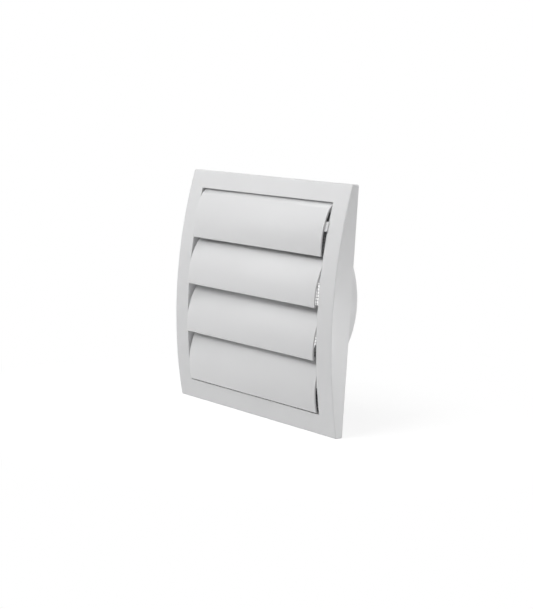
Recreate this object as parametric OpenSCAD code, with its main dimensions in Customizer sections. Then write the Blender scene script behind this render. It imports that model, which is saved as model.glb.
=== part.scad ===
// Louvred vent grille: a square frame with a barrel-curved face, four gravity louvres that swing
// outward on pins, an insect mesh, and a back plate with a round duct spigot.
// X runs across the face, Z is up, and the face looks along -Y.
// The origin is the centre of the spigot in the plane of the wall.

/* [Frame] */
// Width and height of the square frame
frame_w = 170; // [160:1:190]
// Width of the left and right borders of the face
side_border = 14.7; // [13:0.1:18]
// Height of the upper border of the face
top_border = 13; // [11:0.1:16]
// Height of the lower border of the face
bottom_border = 14.3; // [12:0.1:17]
// Wall thickness of the face and of the outer skirt
frame_wall = 2; // [1.6:0.1:2.4]
// Distance from the louvre pivots forward to the crown of the face
face_rise = 9.6; // [9.2:0.1:11]
// Free height between the mesh and the inside of the face at its top and bottom edges
edge_room = 1.8; // [1.2:0.1:3]
// Radius of the rounded edges of the face
edge_r = 0.8; // [0.4:0.1:1.2]
// Wall thickness of the tray walls round the window
tray_wall = 1.8; // [1.6:0.1:2.2]

/* [Louvres] */
// Radius of the outer face of a louvre
louvre_r = 50; // [46:1:60]
// Radius of the curled upper edge of a louvre
curl_r = 5.2; // [5:0.1:5.4]
// Angle at which the curl runs out into its straight tail, in degrees up from level
curl_turn = 57; // [54:1:60]
// Thickness of a louvre
louvre_t = 1.3; // [1:0.1:1.5]
// Gap between each end of a louvre and the tray wall
end_gap = 1.5; // [1:0.1:2]
// Distance from the upper edge of the window down to the first pivot
pivot_drop = 5.4; // [5.2:0.1:6.5]
// Height of a louvre's lip above the pivot of the next louvre
lip_rise = 4.2; // [4:0.1:5]
// Height left under the row of louvres
bottom_gap = 1.9; // [1.8:0.1:3]
// Distance of the top and bottom pivots forward of the mesh
pivot_stand = 4; // [3.6:0.1:4.4]
// Distance that the two middle pivots stand further forward
pivot_bow = 1; // [0.6:0.1:1.4]
// Inward lean of the closed top louvre at its lip, in degrees
lean_top = 10; // [8:0.5:11]
// Inward lean of the closed upper middle louvre at its lip, in degrees
lean_upper = 6; // [5:0.5:9]
// Inward lean of the closed lower middle louvre at its lip, in degrees
lean_lower = 9.5; // [8:0.5:11]
// Inward lean of the closed bottom louvre at its lip, in degrees
lean_bottom = 19; // [17:0.5:20]
// Angle that a louvre opens, where its tail comes to the mesh
louvre_open = 48; // [40:1:50]

/* [Pivots and stops] */
// Radius of a pivot pin
pin_r = 1.5; // [1.2:0.1:1.6]
// Radial clearance of a pin in its hole
pin_fit = 0.05; // [0.03:0.01:0.08]
// Length of a pin inside the tray wall
pin_grip = 1.3; // [1:0.1:1.5]
// Height of the pins above the centre of the curl
pin_rise = 1.5; // [1.2:0.1:1.6]
// Radius of the boss round a pin
boss_r = 2.5; // [2.2:0.1:2.6]
// Thickness of the ear that joins a boss to the louvre
ear_t = 1.6; // [1.2:0.1:2]
// Overlap of a stop rib behind the end of a louvre
stop_overlap = 1; // [0.8:0.1:2]
// Thickness of a stop rib, front to back
stop_t = 2; // [1.5:0.1:3]
// Gap between a closed louvre and its stop ribs
stop_gap = 0.3; // [0.25:0.05:0.4]

/* [Base plate and spigot] */
// Thickness of the base plate
base_t = 1.8; // [1.4:0.1:2.5]
// Gap between the base plate and the inside of the skirt
base_fit = 0.25; // [0.2:0.05:0.5]
// Outer radius of the spigot
spigot_r = 62; // [58:0.5:64]
// Wall thickness of the spigot
spigot_wall = 1.7; // [1.4:0.1:2.2]
// Length of the spigot behind the wall plane
spigot_l = 29; // [20:1:60]
// Length of the bevel round the end of the spigot
spigot_bevel = 1; // [0.5:0.1:1.2]
// Radius of a screw hole
screw_r = 2.25; // [1.75:0.25:2.5]
// Height between the upper and lower screw holes
screw_pitch_z = 110; // [100:1:120]

/* [Insect mesh] */
// Thickness of the mesh
mesh_t = 0.5; // [0.4:0.1:0.8]
// Gap round the mesh in its recess in the base plate
mesh_fit = 0.2; // [0.1:0.05:0.3]
// Width of a mesh bar
mesh_bar = 1.2; // [0.8:0.1:2]
// Width of the solid edge of the mesh inside the window
mesh_edge = 3; // [2:0.5:5]
// Number of gaps across the mesh
mesh_columns = 11; // [6:1:11]
// Number of gaps up the mesh
mesh_rows = 10; // [6:1:10]

/* [Snap hooks] */
// Distance of a snap hook above or below the middle
clip_z = 24; // [20:1:28]
// Width of a snap hook
clip_w = 10; // [8:0.5:12]
// Thickness of a hook's tongue
clip_t = 1.5; // [1.2:0.1:1.8]
// Overlap of a hook's nose behind the ledge inside the skirt
clip_hold = 0.6; // [0.4:0.1:0.7]

/* [Hidden] */
$fn = 96;
louvre_count = 4;
// Extra length of a cutting shape past the face it cuts
over = 1;
white = [0.86, 0.86, 0.87];
net_grey = [0.62, 0.63, 0.64];

// Window in the face
half_w = frame_w / 2;
win_x = half_w - side_border;
win_top = half_w - top_border;
win_bottom = -half_w + bottom_border;

// Stack of depths in front of the wall plane
mesh_front = base_t;
mesh_back = base_t - mesh_t;
edge_depth = mesh_front + edge_room + frame_wall;
crown_depth = mesh_front + pivot_stand + pivot_bow + face_rise;

// The face is part of a cylinder along X, through the crown and the top and bottom edges
face_sag = crown_depth - edge_depth;
face_r = (half_w * half_w + face_sag * face_sag) / (2 * face_sag);
face_axis = face_r - crown_depth;

// Row of pivots
pitch = (win_top - win_bottom - pivot_drop - bottom_gap + lip_rise) / louvre_count;
leans = [lean_top, lean_upper, lean_lower, lean_bottom];
function pivot_z(i) = win_top - pivot_drop - i * pitch;
function stand(i) = pivot_stand + (i == 0 || i == louvre_count - 1 ? 0 : pivot_bow);
function pivot_y(i) = -mesh_front - stand(i);

// Angle of arc that reaches from the curl to the lip when a louvre leans in by the usual lean
usual_lean = 8;
curl_drop = pitch - lip_rise - pin_rise * cos(usual_lean);
louvre_arc = asin((curl_drop - louvre_r * sin(usual_lean)) / (louvre_r - curl_r)) + usual_lean;
louvre_x = win_x - end_gap;

// The tail is as long as stays clear of the mesh when a louvre is open; its start is taken from the pin
tail_clear = 0.3;
curl_middle = curl_r - louvre_t / 2;
seam_inset = 0.13;
tail_start = [-curl_middle * cos(curl_turn), curl_middle * sin(curl_turn) - pin_rise];
function tail_room(i) = stand(i) - tail_clear - louvre_t / 2
    - tail_start[0] * cos(louvre_open - leans[i]) - tail_start[1] * sin(louvre_open - leans[i]);
tail_l = min([for (i = [0 : louvre_count - 1]) tail_room(i) / sin(curl_turn + louvre_open - leans[i])]);

// Stop ribs stand behind this stretch of the louvre's arc, in degrees up from the lip; it follows the arc's end
stop_below_curl = 9.787;
stop_span = 8;
stop_to = louvre_arc - stop_below_curl;
stop_from = stop_to - stop_span;

// Ledge inside the skirt and the nose that snaps behind it, as distances forward of the wall plane
skirt_x = half_w - frame_wall;
base_x = skirt_x - base_fit;
ledge_w = 1;
ledge_rise = 4;
ledge_t = 1.5;
ledge_back = base_t + ledge_rise;
ledge_front = ledge_back + ledge_t;
clip_gap = 0.3;
nose_l = 1.8;
nose_flat = 0.5;
nose_back = ledge_front + clip_gap;
nose_front = nose_back + nose_l;
tongue_x = skirt_x - ledge_w - clip_gap;
nose_x = skirt_x - ledge_w + clip_hold;
clip_slot = 1;

// Screw holes lie in the channel between the tray and the skirt
screw_x = (win_x + tray_wall + skirt_x) / 2;

// Width of the mesh's edge under the tray walls
mesh_grip = tray_wall / 2;

// Stiffening ribs across that channel
rib_t = 1.6;
rib_gap = 0.3;
rib_step = 38;

// Box from one corner to the other, both given as [x, y, z]
module block(low, high) {
    translate(low)
        cube(high - low);
}

// Solid cylinder along X that has the face's curve, sunk by a depth behind the face
module barrel(sunk, half) {
    translate([-half, face_axis, 0])
        rotate([0, 90, 0])
            cylinder(r = face_r - sunk, h = 2 * half, $fn = 360);
}

// Side view of the frame's outside, with the front corners rounded; drawn with Y across and Z up
module frame_side_outline() {
    round_y = face_axis - sqrt(pow(face_r - edge_r, 2) - pow(half_w - edge_r, 2));
    corner_angle = asin((half_w - edge_r) / (face_r - edge_r));
    reach = 3 * edge_r;
    difference() {
        intersection() {
            translate([face_axis, 0])
                circle(r = face_r, $fn = 360);
            translate([-crown_depth - over, -half_w])
                square([crown_depth + over, frame_w]);
        }
        for (side = [-1, 1])
            difference() {
                polygon([
                    [round_y, side * (half_w - edge_r)],
                    [round_y, side * (half_w + over)],
                    [round_y - reach, side * (half_w + over)],
                    [
                        round_y - reach * cos(corner_angle),
                        side * (half_w - edge_r + reach * sin(corner_angle))
                    ]
                ]);
                translate([round_y, side * (half_w - edge_r)])
                    circle(r = edge_r);
            }
    }
}

// Disc that rounds the face off into the two side walls; its rim is the curve of the face
module rounded_disc() {
    translate([0, face_axis, 0])
        rotate([0, 90, 0])
            rotate_extrude($fn = 360)
                difference() {
                    translate([0, -half_w])
                        square([face_r, frame_w]);
                    for (side = [-1, 1])
                        translate([face_r - edge_r, side * (half_w - edge_r)])
                            difference() {
                                square_towards(side);
                                circle(r = edge_r);
                            }
                }
}

// Square that covers the corner outside a rounding, on the upper or lower side
module square_towards(side) {
    translate([0, side > 0 ? 0 : -edge_r - over])
        square([edge_r + over, edge_r + over]);
}

// Outside of the frame, without its hollow
module frame_body() {
    intersection() {
        translate([-half_w, 0, 0])
            rotate([90, 0, 90])
                linear_extrude(height = frame_w)
                    frame_side_outline();
        rounded_disc();
    }
}

// Block that the tray walls are left from, up to the front of the mesh
module tray_block() {
    block(
        [-win_x - tray_wall, -crown_depth - over, win_bottom - tray_wall],
        [win_x + tray_wall, -mesh_front, win_top + tray_wall]
    );
}

// Hollow behind the face, inside the skirt
module frame_hollow() {
    intersection() {
        barrel(frame_wall, skirt_x);
        block([-skirt_x, -crown_depth, -skirt_x], [skirt_x, over, skirt_x]);
    }
}

// Ribs that stiffen the channel between the tray and the skirt
module channel_ribs() {
    intersection() {
        barrel(frame_wall / 2, skirt_x + frame_wall / 2);
        union() {
            for (k = [-1, 0, 1]) {
                block(
                    [k * rib_step - rib_t / 2, -crown_depth, win_top + tray_wall],
                    [k * rib_step + rib_t / 2, -base_t - rib_gap, half_w - frame_wall / 2]
                );
                block(
                    [k * rib_step - rib_t / 2, -crown_depth, -half_w + frame_wall / 2],
                    [k * rib_step + rib_t / 2, -base_t - rib_gap, win_bottom - tray_wall]
                );
                for (side = [-1, 1])
                    mirror([side < 0 ? 1 : 0, 0, 0])
                        block(
                            [win_x + tray_wall, -crown_depth, k * rib_step - rib_t / 2],
                            [half_w - frame_wall / 2, -base_t - rib_gap, k * rib_step + rib_t / 2]
                        );
            }
        }
    }
}

// Places a shape drawn round a louvre's pivot at louvre i, closed
module at_louvre(i) {
    translate([0, pivot_y(i), pivot_z(i)])
        rotate([leans[i], 0, 0])
            children();
}

// Wedge of the plane between two angles of a louvre's arc, measured up from the lip
module arc_wedge(from, to, reach) {
    halfway = (from + to) / 2;
    corner = reach / cos((to - from) / 2);
    polygon([
        [0, 0],
        [-reach * cos(from), reach * sin(from)],
        [-corner * cos(halfway), corner * sin(halfway)],
        [-reach * cos(to), reach * sin(to)]
    ]);
}

// Moves to the centre of a louvre's arc, from its pivot
module at_arc_centre() {
    translate([(louvre_r - curl_r) * cos(louvre_arc), -(louvre_r - curl_r) * sin(louvre_arc) - pin_rise])
        children();
}

// Moves to the middle of the sheet at an angle of the curl, with the first axis along the sheet
module at_curl(angle) {
    translate([-curl_middle * cos(angle), curl_middle * sin(angle) - pin_rise])
        rotate(90 - angle)
            children();
}

// Core of the sheet where two stretches of it meet, inside both of its faces
module seam(angle) {
    at_curl(angle)
        square([louvre_t, louvre_t - 2 * seam_inset], center = true);
}

// Straight tail of a louvre, with a round end
module tail_outline() {
    translate(tail_start)
        rotate(90 - curl_turn) {
            translate([0, -louvre_t / 2])
                square([tail_l, louvre_t]);
            translate([tail_l, 0])
                circle(r = louvre_t / 2, $fn = 24);
        }
}

// Side view of a louvre round its pivot: rounded lip, long arc, tight curl and straight tail
module louvre_outline() {
    middle_r = louvre_r - louvre_t / 2;
    lip_angle = asin(louvre_t / 2 / middle_r);
    at_arc_centre() {
        intersection() {
            difference() {
                circle(r = louvre_r, $fn = 360);
                circle(r = louvre_r - louvre_t, $fn = 360);
            }
            arc_wedge(lip_angle, louvre_arc, louvre_r + over);
        }
        translate([-middle_r * cos(lip_angle), middle_r * sin(lip_angle)])
            circle(r = louvre_t / 2, $fn = 24);
    }
    translate([0, -pin_rise])
        intersection() {
            difference() {
                circle(r = curl_r);
                circle(r = curl_r - louvre_t);
            }
            arc_wedge(louvre_arc, curl_turn, curl_r + over);
        }
    tail_outline();
    seam(louvre_arc);
    seam(curl_turn);
}

// Side view of an ear: a boss round the pin and a cheek out to the middle of the curl and the tail
module ear_outline() {
    circle(r = boss_r);
    translate([0, -pin_rise])
        intersection() {
            circle(r = curl_middle);
            arc_wedge(louvre_arc, curl_turn, curl_r + over);
        }
    polygon([
        [0, -pin_rise],
        tail_start,
        tail_start + tail_l * [sin(curl_turn), cos(curl_turn)],
        [boss_r * sin(curl_turn), 0]
    ]);
}

// One louvre, closed: the curved sheet, an ear at each end, and a pin on each ear
module louvre(i) {
    color(white)
        at_louvre(i) {
            translate([-louvre_x, 0, 0])
                rotate([90, 0, 90])
                    linear_extrude(height = 2 * louvre_x)
                        louvre_outline();
            for (side = [-1, 1])
                mirror([side < 0 ? 1 : 0, 0, 0]) {
                    translate([louvre_x - ear_t, 0, 0])
                        rotate([90, 0, 90])
                            linear_extrude(height = ear_t)
                                ear_outline();
                    translate([louvre_x - ear_t / 2, 0, 0])
                        rotate([0, 90, 0])
                            cylinder(r = pin_r, h = ear_t / 2 + end_gap + pin_grip);
                }
        }
}

// Pair of ribs on the tray walls that louvre i rests on
module stop_ribs(i) {
    stop_r = louvre_r - louvre_t - stop_gap;
    at_louvre(i)
        for (side = [-1, 1])
            mirror([side < 0 ? 1 : 0, 0, 0])
                translate([louvre_x - stop_overlap, 0, 0])
                    rotate([90, 0, 90])
                        linear_extrude(height = stop_overlap + end_gap + tray_wall / 2)
                            at_arc_centre()
                                intersection() {
                                    difference() {
                                        circle(r = stop_r, $fn = 360);
                                        circle(r = stop_r - stop_t, $fn = 360);
                                    }
                                    arc_wedge(stop_from, stop_to, louvre_r);
                                }
}

// Ledges inside the skirt that the snap hooks catch
module ledges() {
    for (side = [-1, 1], up = [-1, 1])
        mirror([side < 0 ? 1 : 0, 0, 0])
            block(
                [skirt_x - ledge_w, -ledge_front, up * clip_z - clip_w / 2 - ledge_w],
                [skirt_x + frame_wall / 2, -ledge_back, up * clip_z + clip_w / 2 + ledge_w]
            );
}

// Front frame, one moulding
module frame() {
    color(white)
        union() {
            difference() {
                union() {
                    difference() {
                        frame_body();
                        difference() {
                            frame_hollow();
                            tray_block();
                        }
                    }
                    channel_ribs();
                }
                block([-win_x, -crown_depth - over, win_bottom], [win_x, over, win_top]);
                for (i = [0 : louvre_count - 1])
                    translate([-win_x - tray_wall - over, pivot_y(i), pivot_z(i)])
                        rotate([0, 90, 0])
                            cylinder(r = pin_r + pin_fit, h = 2 * (win_x + tray_wall + over));
            }
            ledges();
            for (i = [0 : louvre_count - 1])
                stop_ribs(i);
        }
}

// Snap hook on the right of the base, at height z
module snap_hook(z) {
    translate([0, 0, z - clip_w / 2])
        linear_extrude(height = clip_w)
            polygon([
                [tongue_x - clip_t, -base_t / 2],
                [tongue_x - clip_t, -nose_front],
                [tongue_x - clip_t / 2, -nose_front],
                [nose_x, -nose_back - nose_flat],
                [nose_x, -nose_back],
                [tongue_x, -nose_back],
                [tongue_x, -base_t / 2]
            ]);
}

// Back plate with the spigot, a recess for the mesh, the snap hooks and the screw holes, one moulding
module base() {
    color(white)
        difference() {
            union() {
                block([-base_x, -base_t, -base_x], [base_x, 0, base_x]);
                rotate([-90, 0, 0]) {
                    cylinder(r = spigot_r, h = spigot_l - spigot_bevel);
                    translate([0, 0, spigot_l - spigot_bevel])
                        cylinder(r1 = spigot_r, r2 = spigot_r - spigot_bevel / 2, h = spigot_bevel);
                }
                for (side = [-1, 1], up = [-1, 1])
                    mirror([side < 0 ? 1 : 0, 0, 0])
                        snap_hook(up * clip_z);
            }
            block(
                [-win_x - mesh_grip - mesh_fit, -base_t - over, win_bottom - mesh_grip - mesh_fit],
                [win_x + mesh_grip + mesh_fit, -mesh_back, win_top + mesh_grip + mesh_fit]
            );
            translate([0, -base_t - over, 0])
                rotate([-90, 0, 0])
                    cylinder(r = spigot_r - spigot_wall, h = base_t + spigot_l + 2 * over);
            for (side = [-1, 1], up = [-1, 1]) {
                translate([side * screw_x, -base_t - over, up * screw_pitch_z / 2])
                    rotate([-90, 0, 0])
                        cylinder(r = screw_r, h = base_t + 2 * over);
                mirror([side < 0 ? 1 : 0, 0, 0])
                    block(
                        [base_x - clip_slot, -base_t - over, up * clip_z - clip_w / 2 - ledge_w],
                        [base_x + over, over, up * clip_z + clip_w / 2 + ledge_w]
                    );
            }
        }
}

// Insect mesh: upright bars behind level bars, in a solid edge that the tray walls clamp
module insect_mesh() {
    low_x = -win_x + mesh_edge;
    low_z = win_bottom + mesh_edge;
    high_z = win_top - mesh_edge;
    step_x = (-2 * low_x + mesh_bar) / mesh_columns;
    step_z = (high_z - low_z + mesh_bar) / mesh_rows;
    middle = (mesh_back + mesh_front) / 2;
    color(net_grey)
        union() {
            difference() {
                block(
                    [-win_x - mesh_grip, -mesh_front, win_bottom - mesh_grip],
                    [win_x + mesh_grip, -mesh_back, win_top + mesh_grip]
                );
                block([low_x, -mesh_front - over, low_z], [-low_x, over, high_z]);
            }
            for (i = [1 : mesh_columns - 1])
                block(
                    [low_x + i * step_x - mesh_bar, -middle, low_z - mesh_bar],
                    [low_x + i * step_x, -mesh_back, high_z + mesh_bar]
                );
            for (i = [1 : mesh_rows - 1])
                block(
                    [low_x - mesh_bar, -mesh_front, low_z + i * step_z - mesh_bar],
                    [-low_x + mesh_bar, -middle, low_z + i * step_z]
                );
        }
}

frame();
base();
insect_mesh();
louvre(0);  // louvre_top
louvre(1);  // louvre_upper
louvre(2);  // louvre_lower
louvre(3);  // louvre_bottom
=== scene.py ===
import math

import bmesh
import bpy
from mathutils import Matrix, Vector

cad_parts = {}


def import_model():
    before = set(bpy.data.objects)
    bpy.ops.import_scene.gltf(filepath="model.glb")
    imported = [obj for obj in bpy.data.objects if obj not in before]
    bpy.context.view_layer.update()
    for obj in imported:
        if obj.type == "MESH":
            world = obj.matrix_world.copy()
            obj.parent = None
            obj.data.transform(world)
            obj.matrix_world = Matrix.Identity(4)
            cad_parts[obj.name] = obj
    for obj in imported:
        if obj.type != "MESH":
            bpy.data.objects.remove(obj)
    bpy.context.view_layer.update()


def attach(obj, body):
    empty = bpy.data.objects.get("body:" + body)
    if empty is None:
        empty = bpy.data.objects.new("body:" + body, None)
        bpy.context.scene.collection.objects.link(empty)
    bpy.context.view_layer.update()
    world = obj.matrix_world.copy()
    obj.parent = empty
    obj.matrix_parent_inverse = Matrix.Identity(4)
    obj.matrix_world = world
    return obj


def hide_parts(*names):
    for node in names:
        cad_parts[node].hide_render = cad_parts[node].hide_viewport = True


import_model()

MM = 0.001

# Sizes in millimetres, as in the CAD source
HALF = 85.0
WALL = 2.0
EDGE_R = 0.8
TRAY = 1.8
WIN_X, WIN_TOP, WIN_LOW = 70.3, 72.0, -70.7
MESH_FRONT, MESH_BACK = 1.8, 1.3
CROWN, EDGE_DEPTH = 16.4, 5.6
SAG = CROWN - EDGE_DEPTH
FACE_R = (HALF * HALF + SAG * SAG) / (2 * SAG)
FACE_AXIS = FACE_R - CROWN

LOUVRE_R, CURL_R, SHEET = 50.0, 5.2, 1.3
CURL_TURN, OPEN = 57.0, 48.0
PIN_RISE, PIN_R, PIN_FIT, PIN_GRIP = 1.5, 1.5, 0.05, 1.3
BOSS_R, EAR = 2.5, 1.6
LOUVRE_X, END_GAP = 68.8, 1.5
BEAD_R, BEAD_BACK = 0.9, 0.13
PITCH = (WIN_TOP - WIN_LOW - 5.4 - 1.9 + 4.2) / 4
LEANS = (10.0, 6.0, 9.5, 19.0)
NAMES = ("top", "upper", "lower", "bottom")
STANDS = (4.0, 5.0, 5.0, 4.0)
PIVOTS = [(-MESH_FRONT - STANDS[i], WIN_TOP - 5.4 - i * PITCH) for i in range(4)]

SKIRT_X = HALF - WALL
BASE_X = SKIRT_X - 0.25
SPIGOT_R, SPIGOT_WALL, SPIGOT_L = 62.0, 1.7, 29.0
CLIP_Z, CLIP_W = 24.0, 10.0


def cosd(a):
    return math.cos(math.radians(a))


def sind(a):
    return math.sin(math.radians(a))


CURL_DROP = PITCH - 4.2 - PIN_RISE * cosd(8)
ARC = math.degrees(math.asin((CURL_DROP - LOUVRE_R * sind(8)) / (LOUVRE_R - CURL_R))) + 8
CURL_MIDDLE = CURL_R - SHEET / 2
TAIL_START = (-CURL_MIDDLE * cosd(CURL_TURN), CURL_MIDDLE * sind(CURL_TURN) - PIN_RISE)


def tail_length():
    rooms = []
    for lean, stand in zip(LEANS, STANDS):
        a = OPEN - lean
        room = stand - 0.3 - SHEET / 2 - TAIL_START[0] * cosd(a) - TAIL_START[1] * sind(a)
        rooms.append(room / sind(CURL_TURN + a))
    return min(rooms)


TAIL = tail_length()


# Materials
def material(name, colour, vary, rough, rough_vary, grain, grain_height, flow_height, coat):
    """Moulded plastic: faint clouding of the colour, uneven gloss, fine grain and slow waves in the skin."""
    m = bpy.data.materials.new(name)
    m.use_nodes = True
    nodes, links = m.node_tree.nodes, m.node_tree.links
    shader = nodes["Principled BSDF"]
    place = nodes.new("ShaderNodeTexCoord").outputs["Object"]

    def noise(scale, detail, roughness=0.5):
        n = nodes.new("ShaderNodeTexNoise")
        n.inputs["Scale"].default_value = scale
        n.inputs["Detail"].default_value = detail
        n.inputs["Roughness"].default_value = roughness
        links.new(place, n.inputs["Vector"])
        return n.outputs["Fac"]

    def spread(value, low, high):
        n = nodes.new("ShaderNodeMapRange")
        n.inputs["From Min"].default_value = 0.3
        n.inputs["From Max"].default_value = 0.7
        n.inputs["To Min"].default_value = low
        n.inputs["To Max"].default_value = high
        links.new(value, n.inputs["Value"])
        return n.outputs["Result"]

    mix = nodes.new("ShaderNodeMix")
    mix.data_type = "RGBA"
    links.new(spread(noise(28, 4), 0.0, 1.0), mix.inputs["Factor"])
    mix.inputs[6].default_value = (*[c * (1 - vary) for c in colour], 1)
    mix.inputs[7].default_value = (*[min(1.0, c * (1 + vary)) for c in colour], 1)
    links.new(mix.outputs[2], shader.inputs["Base Color"])
    links.new(spread(noise(60, 5, 0.6), rough - rough_vary, rough + rough_vary), shader.inputs["Roughness"])

    flow = nodes.new("ShaderNodeBump")
    flow.inputs["Strength"].default_value = 0.5
    flow.inputs["Distance"].default_value = flow_height
    links.new(noise(35, 1), flow.inputs["Height"])
    fine = nodes.new("ShaderNodeBump")
    fine.inputs["Strength"].default_value = 0.4
    fine.inputs["Distance"].default_value = grain_height
    links.new(noise(grain, 2), fine.inputs["Height"])
    links.new(flow.outputs["Normal"], fine.inputs["Normal"])
    links.new(fine.outputs["Normal"], shader.inputs["Normal"])
    shader.inputs["IOR"].default_value = 1.53
    shader.inputs["Coat Weight"].default_value = coat
    shader.inputs["Coat Roughness"].default_value = 0.12
    return m


FRAME_WHITE = material(
    "frame_white", (0.735, 0.737, 0.742), vary=0.006, rough=0.36, rough_vary=0.03,
    grain=1500, grain_height=0.000002, flow_height=0.00003, coat=0.10)
LOUVRE_WHITE = material(
    "louvre_white", (0.745, 0.747, 0.752), vary=0.006, rough=0.32, rough_vary=0.03,
    grain=1500, grain_height=0.0000015, flow_height=0.00003, coat=0.20)
NET_GREY = material(
    "net_grey", (0.42, 0.425, 0.435), vary=0.05, rough=0.55, rough_vary=0.06,
    grain=3000, grain_height=0.000003, flow_height=0.000002, coat=0.0)


# Mesh helpers
def new_object(name, bm, mat, smooth=38):
    bmesh.ops.recalc_face_normals(bm, faces=bm.faces)
    me = bpy.data.meshes.new(name)
    bm.to_mesh(me)
    bm.free()
    o = bpy.data.objects.new(name, me)
    bpy.context.scene.collection.objects.link(o)
    me.materials.append(mat)
    for p in me.polygons:
        p.use_smooth = True
    me.set_sharp_from_angle(angle=math.radians(smooth))
    return o


def apply_modifiers(o):
    graph = bpy.context.evaluated_depsgraph_get()
    me = bpy.data.meshes.new_from_object(o.evaluated_get(graph))
    old = o.data
    o.modifiers.clear()
    o.data = me
    me.name = old.name
    bpy.data.meshes.remove(old)


def join(target, others, kind="UNION"):
    """Boolean of closed meshes, applied, so that one moulding is one skin."""
    for other in others:
        m = target.modifiers.new("bool", "BOOLEAN")
        m.operation = kind
        m.solver = "EXACT"
        m.object = other
        apply_modifiers(target)
        bpy.data.objects.remove(other, do_unlink=True)
    return target


def soften(o, width, segments=2, angle=42):
    m = o.modifiers.new("soften", "BEVEL")
    m.width = width * MM
    m.segments = segments
    m.limit_method = "ANGLE"
    m.angle_limit = math.radians(angle)
    m.use_clamp_overlap = True
    m.harden_normals = False
    apply_modifiers(o)
    for p in o.data.polygons:
        p.use_smooth = True
    o.data.set_sharp_from_angle(angle=math.radians(38))


def prism_x(bm, outline, x0, x1):
    """Extrudes an outline of (y, z) points from x0 to x1, all in millimetres."""
    rings = [[bm.verts.new((x * MM, y * MM, z * MM)) for y, z in outline] for x in (x0, x1)]
    n = len(outline)
    for i in range(n):
        j = (i + 1) % n
        bm.faces.new((rings[0][i], rings[0][j], rings[1][j], rings[1][i]))
    bm.faces.new(list(reversed(rings[0])))
    bm.faces.new(rings[1])


def prism_object(name, outline, x0, x1, mat):
    bm = bmesh.new()
    prism_x(bm, outline, x0, x1)
    return new_object(name, bm, mat)


def box_object(name, low, high, mat):
    bm = bmesh.new()
    prism_x(bm, [(low[1], low[2]), (high[1], low[2]), (high[1], high[2]), (low[1], high[2])], low[0], high[0])
    return new_object(name, bm, mat)


def circle_points(cy, cz, r, n):
    return [(cy + r * cosd(360 * i / n), cz + r * sind(360 * i / n)) for i in range(n)]


# Louvres
def sheet_outline():
    """Closed side view of the sheet round its pivot: (y, z), lip below, curl and tail above."""
    cy = (LOUVRE_R - CURL_R) * cosd(ARC)
    cz = -(LOUVRE_R - CURL_R) * sind(ARC) - PIN_RISE
    middle = LOUVRE_R - SHEET / 2
    lip = math.degrees(math.asin(BEAD_R / middle))
    start = lip + math.degrees(BEAD_R * 0.62 / middle)
    outer, inner = [], []
    steps = 40
    for i in range(steps + 1):
        a = start + (ARC - start) * i / steps
        outer.append((cy - LOUVRE_R * cosd(a), cz + LOUVRE_R * sind(a)))
        inner.append((cy - (LOUVRE_R - SHEET) * cosd(a), cz + (LOUVRE_R - SHEET) * sind(a)))
    steps = 12
    for i in range(1, steps + 1):
        a = ARC + (CURL_TURN - ARC) * i / steps
        outer.append((-CURL_R * cosd(a), CURL_R * sind(a) - PIN_RISE))
        inner.append((-(CURL_R - SHEET) * cosd(a), (CURL_R - SHEET) * sind(a) - PIN_RISE))
    along = (sind(CURL_TURN), cosd(CURL_TURN))
    across = (-cosd(CURL_TURN), sind(CURL_TURN))
    end = (TAIL_START[0] + TAIL * along[0], TAIL_START[1] + TAIL * along[1])
    tip = []
    for i in range(11):
        a = 90 - 180 * i / 10
        tip.append((end[0] + SHEET / 2 * (along[0] * cosd(a) + across[0] * sind(a)),
                    end[1] + SHEET / 2 * (along[1] * cosd(a) + across[1] * sind(a))))
    # the lip swells into a fine bead: its centre lies a little behind the middle of the sheet
    bead_mid = middle - BEAD_BACK
    ly, lz = cy - bead_mid * cosd(lip), cz + bead_mid * sind(lip)
    foot = []
    for i in range(13):
        a = lip - 38 + (256 * i / 12)
        foot.append((ly + BEAD_R * cosd(a), lz - BEAD_R * sind(a)))
    return outer + tip + list(reversed(inner)) + foot


def cheek_corners():
    """Side view of the ear's cheek: along the middle of curl and tail, and back below the pin."""
    along = (sind(CURL_TURN), cosd(CURL_TURN))
    points = []
    # half a step off the sheet's own points, so that the cheek's edge runs through none of them
    for i in range(12):
        a = ARC + (CURL_TURN - ARC) * (i + 0.5) / 12
        points.append((-CURL_MIDDLE * cosd(a), CURL_MIDDLE * sind(a) - PIN_RISE))
    points.append((TAIL_START[0] + TAIL * along[0], TAIL_START[1] + TAIL * along[1]))
    points.append((BOSS_R * sind(CURL_TURN), 0))
    points.append((0, -PIN_RISE))
    return points


def ear_outline():
    """Cheek and boss as one outline: in each direction from the pin, whichever reaches further."""
    cheek = cheek_corners()
    outline = []
    for step in range(72):
        turn = 5 * step + 1.3
        dy, dz = cosd(turn), sind(turn)
        reach = BOSS_R
        for (y0, z0), (y1, z1) in zip(cheek, cheek[1:] + cheek[:1]):
            ey, ez = y1 - y0, z1 - z0
            across = dy * ez - dz * ey
            if abs(across) < 1e-9:
                continue
            if 0 <= (y0 * dz - z0 * dy) / across <= 1:
                reach = max(reach, (y0 * ez - z0 * ey) / across)
        outline.append((reach * dy, reach * dz))
    return outline


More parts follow.
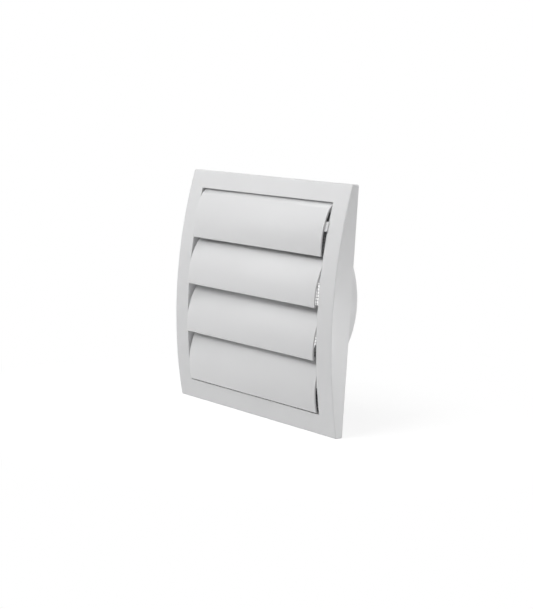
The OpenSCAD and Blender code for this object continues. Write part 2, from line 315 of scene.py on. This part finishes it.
def make_louvre(i):
    name = "louvre_" + NAMES[i]
    sheet = prism_object(name + "_flap", sheet_outline(), -LOUVRE_X, LOUVRE_X, LOUVRE_WHITE)
    soften(sheet, 0.22, 2, 50)
    extras = []
    for side in (-1, 1):
        a, b = sorted((side * (LOUVRE_X - EAR), side * (LOUVRE_X - 0.12)))
        ear = prism_object("ear", ear_outline(), a, b, LOUVRE_WHITE)
        soften(ear, 0.08, 2, 50)
        extras.append(ear)
        a, b = sorted((side * (LOUVRE_X - EAR / 2), side * (LOUVRE_X + END_GAP + PIN_GRIP)))
        pin = prism_object("pin", circle_points(0, 0, PIN_R, 32), a, b, LOUVRE_WHITE)
        soften(pin, 0.25, 2, 50)
        extras.append(pin)
    join(sheet, extras)
    y, z = PIVOTS[i]
    turn = Matrix.Rotation(math.radians(LEANS[i]), 4, "X")
    sheet.data.transform(Matrix.Translation((0, y * MM, z * MM)) @ turn)
    for p in sheet.data.polygons:
        p.use_smooth = True
    sheet.data.set_sharp_from_angle(angle=math.radians(38))
    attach(sheet, name)
    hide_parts(name)
    return sheet


# Frame
def face_y(z, sunk=0.0):
    return FACE_AXIS - math.sqrt((FACE_R - sunk) ** 2 - z * z)


def rectangle_loop(x, low, high, corner, count=56, arc=5):
    """Points (x, z) round a rectangle with rounded corners, the same number for every loop."""
    points = []
    corners = ((x - corner, low + corner, -90), (x - corner, high - corner, 0),
               (-x + corner, high - corner, 90), (-x + corner, low + corner, 180))
    for k in range(4):
        cx, cz, start = corners[k]
        for i in range(arc + 1):
            a = start + 90 * i / arc
            points.append((cx + corner * cosd(a), cz + corner * sind(a)))
        nx, nz, nstart = corners[(k + 1) % 4]
        ex, ez = cx + corner * cosd(start + 90), cz + corner * sind(start + 90)
        sx, sz = nx + corner * cosd(nstart), nz + corner * sind(nstart)
        for i in range(1, count):
            t = i / count
            points.append((ex + (sx - ex) * t, ez + (sz - ez) * t))
    return points


def ring(bm, loops):
    """Skin over loops of (x, y, z) points in millimetres, from the last back to the first."""
    rows = [[bm.verts.new((x * MM, y * MM, z * MM)) for x, y, z in loop] for loop in loops]
    n = len(rows[0])
    for k in range(len(rows)):
        a, b = rows[k], rows[(k + 1) % len(rows)]
        for i in range(n):
            j = (i + 1) % n
            bm.faces.new((a[i], a[j], b[j], b[i]))


def frame_moulding():
    loops = []
    soft = 0.35

    def flat(x, low, high, corner, y):
        loops.append([(px, y, pz) for px, pz in rectangle_loop(x, low, high, corner)])

    def faced(x, low, high, corner, sunk, back):
        """A loop on the face, or behind it by back; sunk is the radius lost to an inner skin."""
        loops.append([(px, face_y(pz, sunk) + back, pz) for px, pz in rectangle_loop(x, low, high, corner)])

    # outer skirt, from the wall forward
    flat(HALF - soft * 0.6, -HALF + soft * 0.6, HALF - soft * 0.6, 1.1, 0)
    flat(HALF - soft * 0.15, -HALF + soft * 0.15, HALF - soft * 0.15, 1.15, -soft * 0.2)
    flat(HALF, -HALF, HALF, 1.2, -soft * 0.6)
    # these two hold the shading of the skirt flat up to its rounded edges
    flat(HALF, -HALF, HALF, 1.2, -soft * 0.6 - 0.1)
    faced(HALF, -HALF, HALF, 1.2, 0, EDGE_R + 0.1)
    for i in range(7):
        a = 90 * i / 6
        inset = EDGE_R * (1 - cosd(a))
        back = EDGE_R * (1 - sind(a))
        faced(HALF - inset, -HALF + inset, HALF - inset, max(1.2 - inset, 0.4), 0, back)
    # border of the face to the window
    for t in (0.12, 0.5, 0.9):
        x = (HALF - EDGE_R) + (WIN_X + soft - HALF + EDGE_R) * t
        top = (HALF - EDGE_R) + (WIN_TOP + soft - HALF + EDGE_R) * t
        low = -(HALF - EDGE_R) + (WIN_LOW - soft + HALF - EDGE_R) * t
        faced(x, low, top, 0.8, 0, 0)
    for i in range(5):
        a = 90 * i / 4
        grow = soft * (1 - sind(a))
        faced(WIN_X + grow, WIN_LOW - grow, WIN_TOP + grow, 0.6 + grow, 0, soft * (1 - cosd(a)))
    # tray wall, down inside the window and up behind it
    faced(WIN_X, WIN_LOW, WIN_TOP, 0.6, 0, soft + 0.1)
    flat(WIN_X, WIN_LOW, WIN_TOP, 0.6, -MESH_FRONT - 0.3)
    flat(WIN_X, WIN_LOW, WIN_TOP, 0.6, -MESH_FRONT - 0.2)
    flat(WIN_X + 0.2, WIN_LOW - 0.2, WIN_TOP + 0.2, 0.8, -MESH_FRONT)
    flat(WIN_X + TRAY - 0.2, WIN_LOW - TRAY + 0.2, WIN_TOP + TRAY - 0.2, 1.2, -MESH_FRONT)
    flat(WIN_X + TRAY, WIN_LOW - TRAY, WIN_TOP + TRAY, 1.4, -MESH_FRONT - 0.2)
    root = 0.5
    faced(WIN_X + TRAY, WIN_LOW - TRAY, WIN_TOP + TRAY, 1.4, WALL, root)
    near = root * 0.3
    faced(WIN_X + TRAY + near, WIN_LOW - TRAY - near, WIN_TOP + TRAY + near, 1.4, WALL, near)
    faced(WIN_X + TRAY + root, WIN_LOW - TRAY - root, WIN_TOP + TRAY + root, 1.5, WALL, 0)
    # inside of the face and of the skirt
    faced(SKIRT_X - root, -SKIRT_X + root, SKIRT_X - root, 1.0, WALL, 0)
    faced(SKIRT_X - near, -SKIRT_X + near, SKIRT_X - near, 1.0, WALL, near)
    faced(SKIRT_X, -SKIRT_X, SKIRT_X, 1.0, WALL, root)
    flat(SKIRT_X, -SKIRT_X, SKIRT_X, 1.0, -0.25)
    flat(SKIRT_X + 0.25, -SKIRT_X - 0.25, SKIRT_X + 0.25, 1.2, 0)
    bm = bmesh.new()
    ring(bm, loops)
    body = new_object("frame_moulding", bm, FRAME_WHITE)

    extras = []
    ribs = []
    for k in (-1, 0, 1):
        c = 38 * k
        ribs.append(((c - 0.8, WIN_TOP + TRAY - 0.5), (c + 0.8, HALF - 1)))
        ribs.append(((c - 0.8, -HALF + 1), (c + 0.8, WIN_LOW - TRAY + 0.5)))
        ribs.append(((WIN_X + TRAY - 0.5, c - 0.8), (HALF - 1, c + 0.8)))
        ribs.append(((-HALF + 1, c - 0.8), (-WIN_X - TRAY + 0.5, c + 0.8)))
    for low, high in ribs:
        bm = bmesh.new()
        rear = -1.8 - 0.3
        steps = 8
        xs = (low[0], high[0])
        zs = [low[1] + (high[1] - low[1]) * i / steps for i in range(steps + 1)]
        outline = [(face_y(z, WALL / 2), z) for z in zs] + [(rear, zs[-1]), (rear, zs[0])]
        prism_x(bm, outline, xs[0], xs[1])
        rib = new_object("rib", bm, FRAME_WHITE)
        extras.append(rib)
    for side in (-1, 1):
        for up in (-1, 1):
            x0, x1 = sorted((side * (SKIRT_X - 1), side * (SKIRT_X + 1)))
            c = up * CLIP_Z
            ledge = box_object("ledge", (x0, -7.3, c - 6), (x1, -5.8, c + 6), FRAME_WHITE)
            soften(ledge, 0.2, 1, 50)
            extras.append(ledge)
    # stop ribs behind the ends of the louvres
    stop = LOUVRE_R - SHEET - 0.3
    stop_to = ARC - 9.787
    for i in range(4):
        for side in (-1, 1):
            cy = (LOUVRE_R - CURL_R) * cosd(ARC)
            cz = -(LOUVRE_R - CURL_R) * sind(ARC) - PIN_RISE
            front, back = [], []
            for k in range(7):
                a = stop_to - 8 + 8 * k / 6
                front.append((cy - stop * cosd(a), cz + stop * sind(a)))
                back.append((cy - (stop - 2) * cosd(a), cz + (stop - 2) * sind(a)))
            x0, x1 = sorted((side * (LOUVRE_X - 1), side * (WIN_X + 0.9)))
            s = prism_object("stop", front + list(reversed(back)), x0, x1, FRAME_WHITE)
            soften(s, 0.2, 1, 50)
            y, z = PIVOTS[i]
            turn = Matrix.Rotation(math.radians(LEANS[i]), 4, "X")
            s.data.transform(Matrix.Translation((0, y * MM, z * MM)) @ turn)
            extras.append(s)
    holes = []
    for y, z in PIVOTS:
        for side in (-1, 1):
            x0, x1 = sorted((side * (WIN_X - 1), side * (WIN_X + TRAY + 0.6)))
            holes.append(prism_object("hole", circle_points(y, z, PIN_R + PIN_FIT, 32), x0, x1, FRAME_WHITE))
    join(body, holes, "DIFFERENCE")
    join(body, extras)
    for p in body.data.polygons:
        p.use_smooth = True
    body.data.set_sharp_from_angle(angle=math.radians(38))
    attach(body, "body")
    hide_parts("frame")
    return body


# Base
def base_moulding():
    side = 40

    def square(x, low, high):
        """Points round a rectangle, four sides of equal count, beginning at a corner."""
        corners = ((x, low), (x, high), (-x, high), (-x, low))
        points = []
        for k in range(4):
            a, b = corners[k], corners[(k + 1) % 4]
            for i in range(side):
                t = i / side
                points.append((a[0] + (b[0] - a[0]) * t, a[1] + (b[1] - a[1]) * t))
        return points

    def circle(r):
        points = []
        for i in range(4 * side):
            a = -45 + 360 * i / (4 * side)
            points.append((r * cosd(a), r * sind(a)))
        return points

    loops = []

    def add(points, y):
        loops.append([(x, y, z) for x, z in points])

    grip = TRAY / 2 + 0.2
    bore = SPIGOT_R - SPIGOT_WALL
    add(circle(bore + 0.3), -MESH_BACK)
    add(square(WIN_X + grip, WIN_LOW - grip, WIN_TOP + grip), -MESH_BACK)
    add(square(WIN_X + grip, WIN_LOW - grip, WIN_TOP + grip), -MESH_FRONT + 0.1)
    add(square(WIN_X + grip + 0.1, WIN_LOW - grip - 0.1, WIN_TOP + grip + 0.1), -MESH_FRONT)
    add(square(BASE_X - 0.2, -BASE_X + 0.2, BASE_X - 0.2), -MESH_FRONT)
    add(square(BASE_X, -BASE_X, BASE_X), -MESH_FRONT + 0.2)
    add(square(BASE_X, -BASE_X, BASE_X), -0.2)
    add(square(BASE_X - 0.2, -BASE_X + 0.2, BASE_X - 0.2), 0)
    # spigot; loops a little away from each curve keep the plate and the walls from shading into it
    root = 0.8
    hold = 0.3
    add(circle(SPIGOT_R + root + hold), 0)
    add(circle(SPIGOT_R + root), 0)
    add(circle(SPIGOT_R + root * 0.3), root * 0.3)
    add(circle(SPIGOT_R), root)
    add(circle(SPIGOT_R), root + hold)
    add(circle(SPIGOT_R), SPIGOT_L - 1.2 - hold)
    add(circle(SPIGOT_R), SPIGOT_L - 1.2)
    add(circle(SPIGOT_R - 0.06), SPIGOT_L - 0.95)
    add(circle(SPIGOT_R - 0.45), SPIGOT_L - 0.12)
    add(circle(SPIGOT_R - 0.6), SPIGOT_L)
    add(circle(bore + 0.25), SPIGOT_L)
    add(circle(bore + 0.07), SPIGOT_L - 0.08)
    add(circle(bore), SPIGOT_L - 0.25)
    add(circle(bore), SPIGOT_L - 0.25 - hold)
    add(circle(bore), -MESH_BACK + 0.3 + hold)
    add(circle(bore), -MESH_BACK + 0.3)
    add(circle(bore + 0.09), -MESH_BACK + 0.09)
    bm = bmesh.new()
    ring(bm, loops)
    body = new_object("base_moulding", bm, FRAME_WHITE)

    cuts, extras = [], []
    screw_x = (WIN_X + TRAY + SKIRT_X) / 2
    for s in (-1, 1):
        for up in (-1, 1):
            bm = bmesh.new()
            profile = ((2.55, -2.8), (2.55, -1.8), (2.25, -1.5), (2.25, -0.25), (2.5, 0), (2.5, 1))
            rows = []
            for r, y in profile:
                row = []
                for a in range(0, 360, 12):
                    x, z = s * screw_x + r * cosd(a), up * 55 + r * sind(a)
                    row.append(bm.verts.new((x * MM, y * MM, z * MM)))
                rows.append(row)
            for k in range(len(rows) - 1):
                for i in range(30):
                    j = (i + 1) % 30
                    bm.faces.new((rows[k][i], rows[k][j], rows[k + 1][j], rows[k + 1][i]))
            bm.faces.new(rows[0])
            bm.faces.new(rows[-1])
            cuts.append(new_object("screw_cut", bm, FRAME_WHITE))
            x0, x1 = sorted((s * (BASE_X - 1), s * (BASE_X + 1)))
            c = up * CLIP_Z
            cuts.append(box_object("slot_cut", (x0, -3, c - 6), (x1, 1, c + 6), FRAME_WHITE))
            tongue, nose = SKIRT_X - 1 - 0.3, SKIRT_X - 1 + 0.6
            hook = [(tongue - 1.5, -0.9), (tongue - 1.5, -9.4), (tongue - 0.75, -9.4), (nose, -8.1),
                    (nose, -7.6), (tongue, -7.6), (tongue, -0.9)]
            bm = bmesh.new()
            rows = [[bm.verts.new((s * x * MM, y * MM, z * MM)) for x, y in hook] for z in (c - 5, c + 5)]
            n = len(hook)
            for i in range(n):
                j = (i + 1) % n
                bm.faces.new((rows[0][i], rows[0][j], rows[1][j], rows[1][i]))
            bm.faces.new(rows[0])
            bm.faces.new(rows[1])
            h = new_object("hook", bm, FRAME_WHITE)
            soften(h, 0.15, 2, 30)
            extras.append(h)
    join(body, cuts, "DIFFERENCE")
    join(body, extras)
    for p in body.data.polygons:
        p.use_smooth = True
    body.data.set_sharp_from_angle(angle=math.radians(38))
    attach(body, "body")
    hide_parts("base")
    return body


# Net
def net():
    """Woven screen: level and upright threads that pass over and under each other."""
    bm = bmesh.new()
    pitch = 2.2
    thread = 0.17
    swing = 0.08
    middle = -(MESH_BACK + MESH_FRONT) / 2
    grip = TRAY / 2
    x1, z0, z1 = WIN_X + grip, WIN_LOW - grip, WIN_TOP + grip
    columns = int((2 * x1 - 1) / pitch)
    rows = int((z1 - z0 - 1) / pitch)
    px, pz = (2 * x1 - 0.6) / columns, (z1 - z0 - 0.6) / rows
    shape = [(cosd(a), sind(a)) for a in (45, 135, 225, 315)]

    def strand(points, across):
        last = None
        for p in points:
            now = []
            for c, s in shape:
                q = Vector(p) + Vector(across) * (thread * 1.3 * c) + Vector((0, thread * s, 0))
                now.append(bm.verts.new(q * MM))
            if last:
                for i in range(4):
                    j = (i + 1) % 4
                    bm.faces.new((last[i], last[j], now[j], now[i]))
            else:
                bm.faces.new(now)
            last = now
        bm.faces.new(last)

    for c in range(columns + 1):
        x = -x1 + 0.3 + c * px
        ys = [middle + (swing if (c + r) % 2 else -swing) for r in range(rows + 1)]
        strand([(x, y, z0 + 0.3 + r * pz) for r, y in enumerate(ys)], (1, 0, 0))
    for r in range(rows + 1):
        z = z0 + 0.3 + r * pz
        ys = [middle - (swing if (c + r) % 2 else -swing) for c in range(columns + 1)]
        strand([(-x1 + 0.3 + c * px, y, z) for c, y in enumerate(ys)], (0, 0, 1))
    o = new_object("insect_net", bm, NET_GREY, 60)
    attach(o, "body")
    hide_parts("insect_mesh")
    return o


frame_moulding()
base_moulding()
net()
for index in range(4):
    make_louvre(index)


# Studio
FLOOR_GLOW = 0.80
FLOOR_SEEN = 0.36
FLOOR_BOUNCE = 0.80
FADE_FROM, FADE_TO = 0.10, 0.24
SKY = 0.1
LAMPS = (
    ("top", (-0.15, -0.35, 0.85), (0, 0, 0), 0.7, 0.7, 3.63),
    ("front_left", (-0.9, -1.1, 0.6), (0, 0, 0), 0.8, 0.8, 1.98),
    ("front_high", (0.1, -1.2, 0.9), (0, 0, 0), 0.8, 0.6, 8.62),
    ("back", (0.5, 1.0, 0.5), (0, 0, 0), 0.8, 0.8, 3.50),
    ("right_low", (0.34, 0.12, -0.055), (0.085, 0, -0.075), 0.16, 0.05, 0.26),
)


def seen_directly(nodes, links):
    """1 for rays of the camera, of gloss and of clear parts, and 0 for the rays that light the object."""
    path = nodes.new("ShaderNodeLightPath")
    first = nodes.new("ShaderNodeMath")
    first.operation = "MAXIMUM"
    links.new(path.outputs["Is Camera Ray"], first.inputs[0])
    links.new(path.outputs["Is Glossy Ray"], first.inputs[1])
    second = nodes.new("ShaderNodeMath")
    second.operation = "MAXIMUM"
    links.new(first.outputs[0], second.inputs[0])
    links.new(path.outputs["Is Transmission Ray"], second.inputs[1])
    return second.outputs[0]


def floor():
    """Pale floor that keeps the object's shadow near it and runs out into plain white."""
    bm = bmesh.new()
    bmesh.ops.create_grid(bm, x_segments=2, y_segments=2, size=6)
    m = bpy.data.materials.new("studio_floor")
    m.use_nodes = True
    nodes, links = m.node_tree.nodes, m.node_tree.links
    nodes.clear()
    out = nodes.new("ShaderNodeOutputMaterial")
    place = nodes.new("ShaderNodeTexCoord").outputs["Object"]
    reach = nodes.new("ShaderNodeVectorMath")
    reach.operation = "LENGTH"
    links.new(place, reach.inputs[0])
    fade = nodes.new("ShaderNodeMapRange")
    fade.interpolation_type = "SMOOTHSTEP"
    fade.inputs["From Min"].default_value = FADE_FROM
    fade.inputs["From Max"].default_value = FADE_TO
    links.new(reach.outputs["Value"], fade.inputs["Value"])

    def diffuse(shade):
        d = nodes.new("ShaderNodeBsdfDiffuse")
        d.inputs["Color"].default_value = (shade, shade, shade, 1)
        return d.outputs[0]

    def glow(strength):
        e = nodes.new("ShaderNodeEmission")
        e.inputs["Strength"].default_value = strength
        return e.outputs[0]

    near = nodes.new("ShaderNodeAddShader")
    links.new(diffuse(FLOOR_SEEN), near.inputs[0])
    links.new(glow(FLOOR_GLOW), near.inputs[1])
    shown = nodes.new("ShaderNodeMixShader")
    links.new(fade.outputs["Result"], shown.inputs["Fac"])
    links.new(near.outputs[0], shown.inputs[1])
    links.new(glow(1.0), shown.inputs[2])
    both = nodes.new("ShaderNodeMixShader")
    links.new(seen_directly(nodes, links), both.inputs["Fac"])
    links.new(diffuse(FLOOR_BOUNCE), both.inputs[1])
    links.new(shown.outputs[0], both.inputs[2])
    links.new(both.outputs[0], out.inputs["Surface"])
    o = new_object("studio_floor", bm, m)
    o.location = (0, 0, -HALF * MM)


def world():
    w = bpy.data.worlds.new("studio")
    bpy.context.scene.world = w
    w.use_nodes = True
    nodes, links = w.node_tree.nodes, w.node_tree.links
    nodes.clear()
    out = nodes.new("ShaderNodeOutputWorld")
    sides = []
    for strength in (SKY, 1.0):
        side = nodes.new("ShaderNodeBackground")
        side.inputs["Color"].default_value = (1, 1, 1, 1)
        side.inputs["Strength"].default_value = strength
        sides.append(side.outputs["Background"])
    both = nodes.new("ShaderNodeMixShader")
    links.new(seen_directly(nodes, links), both.inputs["Fac"])
    links.new(sides[0], both.inputs[1])
    links.new(sides[1], both.inputs[2])
    links.new(both.outputs["Shader"], out.inputs["Surface"])


def lamp(name, place, target, width, height, power):
    light = bpy.data.lights.new(name, "AREA")
    light.shape = "RECTANGLE"
    light.size = width
    light.size_y = height
    light.energy = power
    o = bpy.data.objects.new(name, light)
    o.location = place
    o.rotation_euler = (Vector(target) - Vector(place)).to_track_quat("-Z", "Y").to_euler()
    bpy.context.scene.collection.objects.link(o)
    o.visible_camera = False


floor()
world()
for facts in LAMPS:
    lamp(*facts)

# Camera
camera = bpy.data.cameras.new("camera")
camera.sensor_fit = "AUTO"
camera.sensor_width = 36
camera.lens = 1401.795 * 36 / 609
camera.shift_x = -(267.0 - 266.5) / 609
camera.shift_y = -(304.5 - 250.0) / 609
camera.clip_start = 0.01
holder = bpy.data.objects.new("camera", camera)
holder.matrix_world = Matrix((
    (0.649518914, -0.103288577, 0.753297186, 0.745327705),
    (0.757842642, 0.007623746, -0.652392832, -0.648465589),
    (0.061641781, 0.994622214, 0.083228255, 0.115369842),
    (0, 0, 0, 1),
))
bpy.context.scene.collection.objects.link(holder)
bpy.context.scene.camera = holder
bpy.context.scene.view_settings.view_transform = "Standard"
